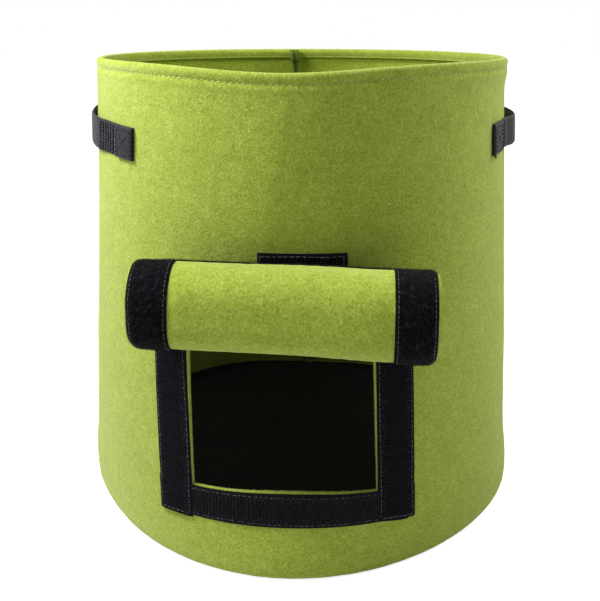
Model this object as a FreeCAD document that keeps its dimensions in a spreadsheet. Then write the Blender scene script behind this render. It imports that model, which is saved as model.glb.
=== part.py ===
"""Felt grow bag with a rolled-up harvest flap, as a parametric FreeCAD document.

Millimetres, +Z up. The origin is the centre of the base on the ground, and the harvest window faces -Y.
Directions round the bag are measured from -Y and grow towards +X, so the right handle is near 90 degrees.
"""
import FreeCAD, Part
import Sketcher
import math
import os
import re

from FreeCAD import Placement, Rotation, Vector

# Driving sizes. Lengths in millimetres, angles in degrees.
SIZES = {
    # the pot
    "top_diameter": "350",
    "base_diameter": "378",
    "bag_height": "375",
    "felt": "3",
    "hem_depth": "11",
    "seam_allowance": "10",
    "seam_turn": "4",
    "foot_bevel": "2",
    "fold_bevel": "1.8",
    "stitched_gap": "0.1",
    # the harvest window and the hook tape round it
    "window_width": "136",
    "window_height": "124",
    "window_sill": "66",
    "cut_margin": "1",
    "side_tape": "30",
    "sill_tape": "25",
    "hook_thickness": "1.5",
    # the flap, folded up into one loop in front of its own seam
    "flap_width": "205",
    "flap_shift": "4",
    "flap_margin": "1",
    "loop_level": "218",
    "loop_height": "58",
    "loop_depth": "44",
    "front_round": "22",
    "seam_round": "8",
    "top_round": "10",
    "top_seam": "8",
    "loop_tape": "28",
    "hem_tape": "25",
    "loop_thickness": "1.2",
    "moving_gap": "0.3",
    # the tape that holds the loop up
    "patch_width": "62",
    "patch_height": "30",
    "patch_shift": "14.5",
    "patch_lift": "13.5",
    # the webbing handles
    "webbing_width": "22",
    "webbing_thickness": "1.6",
    "handle_level": "317",
    "handle_length": "250",
    "left_handle_turn": "10.1",
    "right_handle_turn": "13.5",
    "handle_slack": "10",
    "handle_standoff": "3.7",
    "handle_relief": "3",
    "tab_length": "27",
}

doc = FreeCAD.newDocument("fabric_grow_bag")
sheet = doc.addObject("Spreadsheet::Sheet", "Sizes")
for row, (alias, number) in enumerate(SIZES.items(), start=1):
    sheet.set(f"A{row}", alias)
    sheet.set(f"B{row}", number)
    sheet.setAlias(f"B{row}", alias)
doc.recompute()


# ---- expressions ----

def sized(text):
    """An expression written with the sheet's aliases, as FreeCAD reads it."""
    def named(word):
        return f"Sizes.{word.group()}" if word.group() in SIZES else word.group()
    return re.sub(r"[a-z_]+", named, text)


def number(text):
    """What such an expression comes to now."""
    value = sheet.evalExpression(sized(text))
    return float(getattr(value, "Value", value))


def wall(level, out="0"):
    """Radius of the wall's outer face at a level, plus a distance outwards."""
    return f"(base_diameter/2 + (top_diameter - base_diameter)/2*({level})/bag_height + {out})"


def arc_degrees(length, level):
    """The angle that a length takes up on the wall's outer face at a level."""
    return f"(({length})/{wall(level)}*180/pi)"


# ---- sketches and features ----

def new_body(name, direction=None):
    """A body whose own +X points outwards in a direction round the bag."""
    body = doc.addObject("PartDesign::Body", name)
    body.Label = name
    if direction is not None:
        body.Placement = Placement(Vector(), Rotation(Vector(0, 0, 1), 1))
        body.setExpression("Placement.Rotation.Angle", sized(f"({direction}) - 90"))
    return body


def new_sketch(body, plane, name, level=None, turn=None):
    """A sketch on one of the body's origin planes.

    It may be raised to a level along the plane's normal, or turned about the bag's axis.
    """
    sketch = body.newObject("Sketcher::SketchObject", name)
    support = next(item for item in body.Origin.OriginFeatures if item.Role == plane)
    sketch.AttachmentSupport = [(support, "")]
    sketch.MapMode = "FlatFace"
    if level is not None:
        sketch.setExpression("AttachmentOffset.Base.z", sized(level))
    if turn is not None:
        sketch.AttachmentOffset = Placement(Vector(), Rotation(Vector(0, 1, 0), 1))
        sketch.setExpression("AttachmentOffset.Rotation.Angle", sized(turn))
    return sketch


def hold(sketch, kind, geometry, point, text, name):
    """Fixes one coordinate of a point, from the sketch's origin, to an expression."""
    index = sketch.addConstraint(Sketcher.Constraint(kind, -1, 1, geometry, point, number(text)))
    sketch.renameConstraint(index, name)
    sketch.setExpression(f"Constraints.{name}", sized(text))


def draw(sketch, corners):
    """A closed outline. A corner (x, y) ends a line, and (x, y, cx, cy, turn) ends an arc about (cx, cy).

    turn is 1 anticlockwise and -1 clockwise. Every number is an expression in the sheet's aliases.
    """
    places = [Vector(number(corner[0]), number(corner[1])) for corner in corners]
    first = sketch.GeometryCount
    heads, tails = [], []
    for index, corner in enumerate(corners):
        start, end = places[index - 1], places[index]
        if len(corner) == 2:
            sketch.addGeometry(Part.LineSegment(start, end))
            heads.append(1)
            tails.append(2)
            continue
        centre, turn = Vector(number(corner[2]), number(corner[3])), corner[4]
        begin, finish = [math.atan2(spot.y - centre.y, spot.x - centre.x) for spot in (start, end)[::turn]]
        if finish <= begin:
            finish += 2*math.pi
        circle = Part.Circle(centre, Vector(0, 0, 1), (end - centre).Length)
        sketch.addGeometry(Part.ArcOfCircle(circle, begin, finish))
        heads.append(1 if turn > 0 else 2)
        tails.append(2 if turn > 0 else 1)
    for index, corner in enumerate(corners):
        geometry, following = first + index, first + (index + 1) % len(corners)
        sketch.addConstraint(Sketcher.Constraint(
            "Coincident", geometry, tails[index], following, heads[(index + 1) % len(corners)]))
        hold(sketch, "DistanceX", geometry, tails[index], corner[0], f"x{geometry}")
        hold(sketch, "DistanceY", geometry, tails[index], corner[1], f"y{geometry}")
        if len(corner) > 2:
            chord = places[index] - places[index - 1]
            flat = abs(chord.x) >= abs(chord.y)
            kind, text = ("DistanceY", corner[3]) if flat else ("DistanceX", corner[2])
            hold(sketch, kind, geometry, 3, text, f"c{geometry}")


def revolve(body, sketch, degrees):
    """Turns a sketch about the bag's axis, half to each side of its plane."""
    feature = body.newObject("PartDesign::Revolution", f"{body.Name}_turn")
    feature.Profile = sketch
    feature.ReferenceAxis = (sketch, ["V_Axis"])
    feature.Midplane = True
    feature.setExpression("Angle", sized(degrees))
    return feature


def pad(body, sketch, length, name, both_ways=False):
    """Thickens a sketch along its normal."""
    feature = body.newObject("PartDesign::Pad", name)
    feature.Profile = sketch
    feature.SideType = "Symmetric" if both_ways else "One side"
    feature.setExpression("Length", sized(length))
    return feature


def pocket_through(body, sketch, name, both_ways=False):
    """Cuts a sketch through the whole body, towards the sketch's normal or both ways."""
    feature = body.newObject("PartDesign::Pocket", name)
    feature.Profile = sketch
    feature.Type = "ThroughAll"
    feature.SideType = "Symmetric" if both_ways else "One side"
    feature.Reversed = not both_ways
    return feature


def on_wall(name, low, high, thickness, direction, degrees):
    """A flat strip sewn on the tapering wall: a thin profile turned through the strip's own arc."""
    body = new_body(name, direction)
    sketch = new_sketch(body, "XZ_Plane", f"{name}_profile")
    inner, outer = "stitched_gap", f"stitched_gap + {thickness}"
    draw(sketch, [
        (wall(low, inner), low),
        (wall(low, outer), low),
        (wall(high, outer), high),
        (wall(high, inner), high),
    ])
    revolve(body, sketch, degrees)
    return body


# ---- the pot ----

def make_wall():
    """The side panel: a tapering tube with a folded hem, a turned-in back seam and the window cut out."""
    body = new_body("wall_panel", "90")
    fold = "(bag_height - fold_bevel)"
    hem = "(bag_height - hem_depth)"
    sketch = new_sketch(body, "XZ_Plane", "wall_profile")
    draw(sketch, [
        (wall("0", "-felt"), "0"),
        (wall("0", "-foot_bevel"), "0"),
        (wall("foot_bevel"), "foot_bevel"),
        (wall(fold), fold),
        (wall("bag_height", "-fold_bevel"), "bag_height"),
        (wall("bag_height", "fold_bevel - 2*felt"), "bag_height"),
        (wall(fold, "-2*felt"), fold),
        (wall(hem, "-2*felt"), hem),
        (wall(hem, "-felt"), hem),
    ])
    revolve(body, sketch, "360")

    window = new_sketch(body, "XZ_Plane", "window_outline")
    head = "window_sill + window_height"
    draw(window, [
        ("-window_width/2", "window_sill"),
        ("window_width/2", "window_sill"),
        ("window_width/2", head),
        ("-window_width/2", head),
    ])
    pocket_through(body, window, "window_cut")

    seam_foot = "(felt + seam_allowance + 1)"
    seam = new_sketch(body, "YZ_Plane", "seam_outline", turn="seam_turn")
    draw(seam, [
        (wall(seam_foot, "-felt/2"), seam_foot),
        (wall(fold, "-felt/2"), fold),
        (wall(fold, "-felt - seam_allowance"), fold),
        (wall(seam_foot, "-felt - seam_allowance"), seam_foot),
    ])
    pad(body, seam, "2*felt", "seam_layers", both_ways=True)

    fold_over = new_sketch(body, "YZ_Plane", "seam_fold_outline", turn="seam_turn")
    draw(fold_over, [
        (wall(hem, "-1.5*felt"), hem),
        (wall(fold, "-1.5*felt"), fold),
        (wall(fold, "-2*felt - seam_allowance"), fold),
        (wall(hem, "-2*felt - seam_allowance"), hem),
    ])
    pad(body, fold_over, "4*felt", "seam_fold", both_ways=True)
    return body


def make_base():
    """The round base: a disc whose edge turns up inside the wall and is sewn to it."""
    body = new_body("base_panel")
    edge, rise = "-felt - stitched_gap", "(felt + seam_allowance)"
    sketch = new_sketch(body, "XZ_Plane", "base_profile")
    draw(sketch, [
        ("0", "0"),
        (wall("0", edge), "0"),
        (wall(rise, edge), rise),
        (wall(rise, edge + " - felt"), rise),
        (wall("felt", edge + " - felt"), "felt"),
        ("0", "felt"),
    ])
    revolve(body, sketch, "360")
    return body


# ---- the tape round the window and the patch above it ----

# the line where the flap leaves the wall, at the roll's lower back
SEAM_LINE = "(loop_level - loop_height/2 + felt/2 + seam_round)"
SEAM_FOOT = f"({SEAM_LINE} + moving_gap)"
SEAM_TOP = f"({SEAM_FOOT} + top_seam)"
FRAME_FOOT = "(window_sill - cut_margin - sill_tape)"
FRAME_TOP = f"({SEAM_FOOT} - stitched_gap)"
WINDOW_EDGE = f"(asin(window_width/2/{wall('window_sill')})/1deg)"
TAPE_EDGE = f"({WINDOW_EDGE} + {arc_degrees('cut_margin', 'window_sill')})"


def make_side_tape(name, side):
    """Hook tape beside the window, from below the sill to the flap's seam."""
    middle = f"{side}*({TAPE_EDGE} + {arc_degrees('side_tape/2', 'window_sill')})"
    span = arc_degrees("side_tape", "window_sill")
    return on_wall(name, FRAME_FOOT, FRAME_TOP, "hook_thickness", middle, span)


def make_sill_tape():
    """Hook tape below the window, between the two side tapes."""
    span = f"2*({TAPE_EDGE} - {arc_degrees('stitched_gap', 'window_sill')})"
    return on_wall("hook_tape_sill", FRAME_FOOT, f"({FRAME_FOOT} + sill_tape)", "hook_thickness", "0", span)


def make_patch():
    """The hook patch above the flap's seam that holds the loop up."""
    foot = f"({SEAM_TOP} + patch_lift)"
    return on_wall(
        "hold_open_patch", foot, f"({foot} + patch_height)", "hook_thickness",
        arc_degrees("patch_shift", foot), arc_degrees("patch_width", foot))


# ---- the flap ----

# The loop's section is drawn outwards from the wall (x) and upwards from the loop's middle (y).
# Its centre line leaves the seam, turns out under the loop, up round the front, back over the top
# and down to the tail's end, just above the seam.
BACK = "(moving_gap + felt/2)"
HALF = "(loop_height/2 - felt/2)"
FRONT_X = "(moving_gap + loop_depth - felt/2 - front_round)"
FRONT_Y = f"({HALF} - front_round)"
FRONT = f"({FRONT_X} + front_round)"
TAIL = "(2*stitched_gap + hook_thickness + moving_gap + loop_thickness + felt/2)"
TOP_X, TOP_Y = f"({TAIL} + top_round)", f"({HALF} - top_round)"
SEAM_X, SEAM_Y = f"({BACK} + seam_round)", f"(seam_round - {HALF})"
TAIL_END = f"({SEAM_Y} + moving_gap + top_seam + moving_gap)"


def make_top_seam():
    """The flap's sewn top edge, and the felt that fills in between it and the straight loop."""
    body = on_wall(
        "flap_top_seam", SEAM_FOOT, SEAM_TOP, "felt",
        arc_degrees("flap_shift", SEAM_FOOT), arc_degrees("flap_width", SEAM_FOOT))
    front = wall(SEAM_LINE, "moving_gap + felt")
    inside = wall(SEAM_FOOT, "stitched_gap")
    sketch = new_sketch(body, "XY_Plane", "web_outline", SEAM_FOOT)
    draw(sketch, [
        (front, "-flap_width/2"),
        (front, "flap_width/2"),
        (f"sqrt({inside}^2 - (flap_width/2)^2)", "flap_width/2"),
        (f"sqrt({inside}^2 - (flap_width/2)^2)", "-flap_width/2", "0", "0", -1),
    ])
    pad(body, sketch, "felt", "web")
    return body


def flap_piece(name, corners, width, shift="0"):
    """A piece of the loop: its section padded along the loop, which lies straight across the bag's front."""
    body = new_body(name)
    body.Placement = Placement(Vector(), Rotation(Vector(0, 0, 1), 180))
    body.setExpression("Placement.Base.x", sized(f"flap_shift + {shift}"))
    body.setExpression("Placement.Base.y", sized(f"-{wall(SEAM_LINE)}"))
    body.setExpression("Placement.Base.z", sized("loop_level"))
    sketch = new_sketch(body, "YZ_Plane", f"{name}_section")
    draw(sketch, corners)
    pad(body, sketch, width, f"{name}_length", both_ways=True)
    return body


def loop_section(inner, outer):
    """The loop's section between two distances outside its centre line."""
    return [
        (SEAM_X, f"{SEAM_Y} - seam_round - ({outer})", SEAM_X, SEAM_Y, 1),
        (FRONT_X, f"-{HALF} - ({outer})"),
        (f"{FRONT} + {outer}", f"-{FRONT_Y}", FRONT_X, f"-{FRONT_Y}", 1),
        (f"{FRONT} + {outer}", FRONT_Y),
        (FRONT_X, f"{HALF} + {outer}", FRONT_X, FRONT_Y, 1),
        (TOP_X, f"{HALF} + {outer}"),
        (f"{TAIL} - ({outer})", TOP_Y, TOP_X, TOP_Y, 1),
        (f"{TAIL} - ({outer})", TAIL_END),
        (f"{TAIL} - ({inner})", TAIL_END),
        (f"{TAIL} - ({inner})", TOP_Y),
        (TOP_X, f"{HALF} + {inner}", TOP_X, TOP_Y, -1),
        (FRONT_X, f"{HALF} + {inner}"),
        (f"{FRONT} + {inner}", FRONT_Y, FRONT_X, FRONT_Y, -1),
        (f"{FRONT} + {inner}", f"-{FRONT_Y}"),
        (FRONT_X, f"-{HALF} - ({inner})", FRONT_X, f"-{FRONT_Y}", -1),
        (SEAM_X, f"{SEAM_Y} - seam_round - ({inner})"),
        (f"{BACK} - ({inner})", SEAM_Y, SEAM_X, SEAM_Y, -1),
        (f"{BACK} - ({outer})", SEAM_Y),
    ]


def make_flap():
    """The flap itself and the three loop tapes sewn on its inner face, which the fold turns outwards."""
    tape_inner, tape_outer = "felt/2 + stitched_gap", "felt/2 + stitched_gap + loop_thickness"
    edge = "(flap_width/2 - flap_margin - loop_tape/2)"
    between = "flap_width - 2*flap_margin - 2*loop_tape - 2*stitched_gap"
    hem_section = [
        (f"{TAIL} - ({tape_outer})", TAIL_END),
        (f"{TAIL} - ({tape_inner})", TAIL_END),
        (f"{TAIL} - ({tape_inner})", f"{TAIL_END} + hem_tape"),
        (f"{TAIL} - ({tape_outer})", f"{TAIL_END} + hem_tape"),
    ]
    return [
        flap_piece("flap_panel", loop_section("-felt/2", "felt/2"), "flap_width"),
        flap_piece("loop_tape_left", loop_section(tape_inner, tape_outer), "loop_tape", f"-{edge}"),
        flap_piece("loop_tape_right", loop_section(tape_inner, tape_outer), "loop_tape", edge),
        flap_piece("loop_tape_hem", hem_section, between),
    ]


# ---- the handles ----

HALF_HANDLE = arc_degrees("handle_length/2", "handle_level")
TAB = arc_degrees("tab_length", "handle_level")
GRIP_HALF = f"({HALF_HANDLE} - {TAB} - {arc_degrees('moving_gap', 'handle_level')})"


def make_grip(name, direction):
    """The free stretch of webbing: an arc in plan that stands off the wall, most in the middle."""
    body = new_body(name, direction)
    reach = wall("handle_level", "handle_standoff")
    end_x, end_y = f"({reach}*cos({GRIP_HALF}))", f"({reach}*sin({GRIP_HALF}))"
    crown = wall("handle_level", "handle_slack")
    rise = f"({crown} - {end_x})"
    bend = f"(({end_y}^2 + {rise}^2)/(2*{rise}))"
    centre = f"({crown} - {bend})"
    outer_x = f"({centre} + ({end_x} - {centre})*(1 + webbing_thickness/{bend}))"
    outer_y = f"({end_y}*(1 + webbing_thickness/{bend}))"
    plan = new_sketch(body, "XY_Plane", f"{name}_plan", "handle_level")
    draw(plan, [
        (outer_x, f"-{outer_y}"),
        (outer_x, outer_y, centre, "0", 1),
        (end_x, end_y),
        (end_x, f"-{end_y}", centre, "0", -1),
    ])
    pad(body, plan, "webbing_width", f"{name}_width", both_ways=True)

    # the upper corners are cut back, so that they clear the sewn ends as the grip swings up
    beyond = f"({end_y} + webbing_width)"
    top = "(handle_level + webbing_width)"
    relief = new_sketch(body, "YZ_Plane", f"{name}_relief")
    for sign in ("", "-"):
        corners = [
            (f"{sign}{end_y}", "handle_level"),
            (f"{sign}{beyond}", "handle_level"),
            (f"{sign}{beyond}", top),
            (f"{sign}({end_y} - 2*handle_relief)", top),
        ]
        draw(relief, corners)
    pocket_through(body, relief, f"{name}_relief_cut", both_ways=True)
    return body


def make_handle(side, sign):
    """One handle: two ends sewn flat on the wall, and the grip between them."""
    direction = f"{sign}*90 + {side}_handle_turn"
    low, high = "(handle_level - webbing_width/2)", "(handle_level + webbing_width/2)"
    offset = f"({HALF_HANDLE} - {TAB}/2)"
    pieces = [make_grip(f"{side}_handle_grip", direction)]
    for place, way in (("front", -sign), ("rear", sign)):
        middle = f"{direction} + {way}*{offset}"
        pieces.append(on_wall(f"{side}_handle_{place}_end", low, high, "2*webbing_thickness", middle, TAB))
    return pieces


# ---- the assembly ----

nodes = [
    make_wall(),
    make_base(),
    make_side_tape("hook_tape_left", -1),
    make_side_tape("hook_tape_right", 1),
    make_sill_tape(),
    make_patch(),
    make_top_seam(),
    *make_flap(),
    *make_handle("left", -1),
    *make_handle("right", 1),
]
doc.recompute()

for item in doc.Objects:
    if {"Invalid", "Error"} & set(item.State):
        raise RuntimeError(f"{item.Label} did not compute: {item.State}")
for node in nodes:
    if node.Shape.isNull() or not node.Shape.isValid():
        raise RuntimeError(f"{node.Label} has no valid shape")

os.makedirs("parts", exist_ok=True)
for node in nodes:
    node.Shape.exportStep(f"parts/{node.Label}.step")
    box = node.Shape.BoundBox
    print(f"{node.Label}: {len(node.Shape.Solids)} solid, {node.Shape.Volume/1000:.1f} cm3, "
          f"{box.XLength:.1f} x {box.YLength:.1f} x {box.ZLength:.1f} mm")
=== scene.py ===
"""Felt grow bag with a rolled-up harvest flap: the visible pieces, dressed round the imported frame.

Metres, +Z up. The harvest window faces -Y, and directions round the bag are measured from -Y towards +X.
"""

import math
import random

import bpy
import numpy as np
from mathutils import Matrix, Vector, noise


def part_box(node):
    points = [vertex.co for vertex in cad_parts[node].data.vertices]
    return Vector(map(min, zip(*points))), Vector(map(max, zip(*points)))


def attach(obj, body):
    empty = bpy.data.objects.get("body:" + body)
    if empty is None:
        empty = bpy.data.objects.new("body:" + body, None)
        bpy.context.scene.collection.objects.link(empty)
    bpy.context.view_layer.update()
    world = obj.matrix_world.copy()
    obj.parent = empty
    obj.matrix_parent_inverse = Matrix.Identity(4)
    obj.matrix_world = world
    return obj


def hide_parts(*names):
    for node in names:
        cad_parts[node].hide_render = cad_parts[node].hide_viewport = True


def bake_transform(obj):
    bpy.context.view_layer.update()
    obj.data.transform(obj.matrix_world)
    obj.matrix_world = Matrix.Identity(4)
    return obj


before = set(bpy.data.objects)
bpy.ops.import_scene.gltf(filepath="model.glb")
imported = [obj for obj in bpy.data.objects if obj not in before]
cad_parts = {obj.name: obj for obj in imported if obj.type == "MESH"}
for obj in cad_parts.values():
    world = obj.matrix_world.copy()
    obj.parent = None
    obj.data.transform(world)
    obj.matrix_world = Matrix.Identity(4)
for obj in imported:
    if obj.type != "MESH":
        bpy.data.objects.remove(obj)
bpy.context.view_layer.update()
PI = math.pi
MM = 0.001


# ---- places read from the frame ----

WALL_LOW, WALL_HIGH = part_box("wall_panel")
HEIGHT = WALL_HIGH.z
BASE_RADIUS = (WALL_HIGH.x - WALL_LOW.x)/2
TOP_RADIUS = 0.175
FELT = 3*MM
HEM = 9.2*MM
STITCH_LINE = HEIGHT - 7.8*MM

SEAM_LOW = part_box("flap_top_seam")[0]
SILL_LOW, SILL_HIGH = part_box("hook_tape_sill")
LOOP_LOW, LOOP_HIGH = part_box("flap_panel")
PATCH_LOW, PATCH_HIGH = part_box("hold_open_patch")
GRIP_LOW, GRIP_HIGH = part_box("left_handle_grip")
WINDOW_HALF = 68*MM
WINDOW_HEIGHT = 124*MM
CUT_MARGIN = 1*MM
WINDOW_LOW = SILL_HIGH.z + CUT_MARGIN
WINDOW_HIGH = WINDOW_LOW + WINDOW_HEIGHT


def cone(z):
    """Radius of the CAD wall's outer face at a level."""
    return BASE_RADIUS + (TOP_RADIUS - BASE_RADIUS)*z/HEIGHT


EDGE = math.asin(WINDOW_HALF/cone((WINDOW_LOW + WINDOW_HIGH)/2))
SEAM_TURN = math.radians(184)


def ease(x, low, high):
    """0 below low, 1 above high, and smooth between them."""
    t = np.clip((np.asarray(x, float) - low)/(high - low), 0, 1)
    return t*t*(3 - 2*t)


def bell(x, width):
    """A smooth hump of height 1 about zero."""
    return np.exp(-(np.asarray(x, float)/width)**2)


def apart(a, b):
    """The signed angle from b to a, within half a turn."""
    return (np.asarray(a, float) - b + PI) % (2*PI) - PI


# levels in metres, and how far the felt stands out there in millimetres
BELLY_LEVELS = (0, 0.03, 0.08, 0.14, 0.22, 0.30, HEIGHT)
BELLY_STRAYS = (-0.4, 1.8, 3.0, 2.6, 0.6, -1.2, -2.4)
PANEL_LEVELS = (0, 0.02, 0.04, 0.066, 0.12, 0.19, 0.25, 0.32)
PANEL_STRAYS = (0, -1.0, -4.0, -7.5, -7.0, -4.0, -2.0, 0)
# millimetres high, waves round the bag, phase, and how the phase climbs per metre
WAVES = ((0.9, 2, 0.7, 6), (0.6, 3, -1.1, -9), (0.45, 5, 2.3, 14), (0.3, 8, 0.4, -17))


def belly(z):
    """How the felt strays outwards from the cone: in under the hem, out above the base."""
    return np.interp(z, BELLY_LEVELS, BELLY_STRAYS)*MM


def sway(a, z):
    """Slow, shallow waves in the empty felt, less at the hem and the base seam, and one slanting crest."""
    wave = sum(height*np.sin(count*a + phase + climb*z) for height, count, phase, climb in WAVES)
    calm = ease(z, 0, 0.05)*(1 - 0.55*ease(z, HEIGHT - 0.06, HEIGHT))
    near = 1 - 0.7*bell(apart(a, 0), 0.75)
    fold = apart(a, 0.02 - 0.7*(HEIGHT - z))
    crest = 2.2*np.exp(-np.sqrt(fold**2 + 0.025**2)/0.15)
    crest = crest*ease(z, 0.22, 0.29)*(1 - 0.7*ease(z, HEIGHT - 0.03, HEIGHT))
    return (wave*calm*near + crest)*MM


def slack(a, z):
    """The cut panel lies flatter over and under the window, and the wall bulges where it meets the base."""
    side = apart(a, 0)
    flat = np.interp(z, PANEL_LEVELS, PANEL_STRAYS)*bell(side - 0.05, 0.27)
    front = 5*bell(side + 0.05, 0.5) - 1.5*bell(side + 1.0, 0.25)
    foot = front*(1 - ease(z, 0, 0.06))
    flank = 4.5*bell(np.abs(side) - 1.4, 0.38)*bell(z - 0.008, 0.036)
    rim = (2.6*bell(side - 1.35, 0.5) + 0.3*bell(side + 1.3, 0.5))*ease(z, HEIGHT - 0.03, HEIGHT - 0.006)
    return (flat + foot + flank + rim)*MM


def stray(a, z):
    """How far the real wall stands out from the cone."""
    return belly(z) + sway(a, z) + slack(a, z)


def rim_lift(a):
    """How far the rim runs above or below its level: lowest over the window."""
    return (1.5 + 1.5*np.cos(a) - 5.2*bell(apart(a, 0), 0.42))*MM


WINDOW_LEAN = -0.03
WINDOW_HEART = 0.115


def felt_points(a, z, out=0.0):
    """Points of the real wall at directions a and levels z, out from its outer face."""
    a, z, out = np.broadcast_arrays(*[np.asarray(v, float) for v in (a, z, out)])
    lean = WINDOW_LEAN*(z - WINDOW_HEART)*(1 - ease(z, 0.18, 0.24))*(1 - ease(np.abs(apart(a, 0)), 0.7, 1.5))
    turn = a + lean/cone(z)
    radius = cone(z) + stray(turn, z) + out
    level = z + rim_lift(a)*ease(z, 0.5*HEIGHT, 0.97*HEIGHT)
    return np.stack([radius*np.sin(turn), -radius*np.cos(turn), level], -1)


# ---- meshes ----

def grid_faces(rows, columns, wrap=False, keep=None):
    """Quads of a grid of points, rows by columns. keep(row, column) says which cells stay."""
    faces = []
    for j in range(rows - 1):
        for i in range(columns if wrap else columns - 1):
            if keep is None or keep(j, i):
                k = (i + 1) % columns
                faces.append((j*columns + i, j*columns + k, (j + 1)*columns + k, (j + 1)*columns + i))
    return faces


def new_piece(name, points, faces, material, uvs=None, lap=0.0):
    """A mesh object in the row frame, shaded smooth.

    uvs are one (u, v) in metres for each point, and u starts again after lap.
    """
    mesh = bpy.data.meshes.new(name)
    mesh.from_pydata([tuple(p) for p in np.asarray(points).reshape(-1, 3)], [], faces)
    mesh.update()
    if uvs is not None:
        layer = mesh.uv_layers.new(name="cloth")
        flat = np.asarray(uvs, float).reshape(-1, 2)
        index = np.zeros(len(mesh.loops), int)
        mesh.loops.foreach_get("vertex_index", index)
        corners = flat[index]
        if lap:
            quads = corners.reshape(-1, 4, 2)
            high = quads[..., 0].max(1)[:, None]
            quads[..., 0] += np.where(high - quads[..., 0] > lap/2, lap, 0)
        layer.data.foreach_set("uv", corners.ravel())
    mesh.polygons.foreach_set("use_smooth", [True]*len(mesh.polygons))
    mesh.materials.append(material)
    piece = bpy.data.objects.new(name, mesh)
    bpy.context.collection.objects.link(piece)
    return piece


def apply_modifiers(piece):
    """Turns a piece's modifiers into its mesh."""
    bpy.context.view_layer.update()
    graph = bpy.context.evaluated_depsgraph_get()
    made = bpy.data.meshes.new_from_object(piece.evaluated_get(graph))
    piece.modifiers.clear()
    piece.data = made


def thicken(piece, thickness, round_rim=0.0, inside=None):
    """Gives a sheet its thickness, half to each side.

    Its cut edges are rounded if round_rim is set, and its inner face may have a finish of its own.
    """
    solid = piece.modifiers.new("thickness", "SOLIDIFY")
    solid.thickness = thickness
    solid.offset = 0.0
    solid.use_even_offset = False
    solid.use_quality_normals = True
    if inside:
        piece.data.materials.append(inside)
        solid.material_offset = 1
    if round_rim:
        bevel = piece.modifiers.new("rim", "BEVEL")
        bevel.width = round_rim
        bevel.segments = 2
        bevel.limit_method = "ANGLE"
        bevel.angle_limit = math.radians(50)
    apply_modifiers(piece)
    piece.data.polygons.foreach_set("use_smooth", [True]*len(piece.data.polygons))


# ---- stitches ----

RINGS = 6
SIDES = 6
STRAND_FACES = grid_faces(RINGS, SIDES, True)
STRAND_FACES += [tuple(reversed(range(SIDES))), tuple(range((RINGS - 1)*SIDES, RINGS*SIDES))]
STRAY_PLACE = 0.05
STRAY_TURN = 0.16
TAPER = 0.45
DIVE = 0.95
NUDGE = 1e-4


def at(values, run, s):
    """The point of a line's values at a run s along it."""
    return np.array([np.interp(s, run, values[:, c]) for c in range(3)])


def thread(name, places, normals, pitch, length, width, material, seed, sink=0.35):
    """A row of stitches along a line of places, each a short strand that rises and dives back."""
    steps = np.linalg.norm(np.diff(places, axis=0), axis=1)
    run = np.concatenate([[0], np.cumsum(steps)])
    total = run[-1]
    count = max(1, int(round(total/pitch)))
    rng = random.Random(seed)
    points, faces = [], []
    for k in range(count):
        centre = (k + 0.5)*total/count + rng.uniform(-STRAY_PLACE, STRAY_PLACE)*pitch
        half = length/2*rng.uniform(0.9, 1.06)
        skew = rng.uniform(-STRAY_TURN, STRAY_TURN)*width
        first = len(points)
        faces += [tuple(first + p for p in face) for face in STRAND_FACES]
        for r in range(RINGS):
            t = -1 + 2*r/(RINGS - 1)
            s = min(max(centre + t*half, 0), total)
            up = at(normals, run, s)
            up /= np.linalg.norm(up)
            step = at(places, run, min(s + NUDGE, total)) - at(places, run, max(s - NUDGE, 0))
            way = step/max(np.linalg.norm(step), 1e-12)
            side = np.cross(up, way)
            radius = width/2*(1 - TAPER*abs(t)**3)
            height = width*(0.5 - sink) - width*DIVE*abs(t)**3
            heart = at(places, run, s) + up*height + side*skew*t
            for q in range(SIDES):
                turn = 2*PI*q/SIDES
                points.append(heart + radius*(math.cos(turn)*side + math.sin(turn)*up))
    return new_piece(name, points, faces, material)


def sew(name, place, u, v, low, high, *look):
    """Stitches at (u, v) on place(u, v, out), low off it. high only shows which way is out.

    look is thread's pitch, length, width, material, seed and sink.
    """
    places = place(u, v, low)
    return thread(name, places, place(u, v, high) - places, *look)


# ---- materials ----

def fill(node, values):
    """Writes a node's inputs by name."""
    for label, value in values.items():
        node.inputs[label].default_value = value


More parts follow.
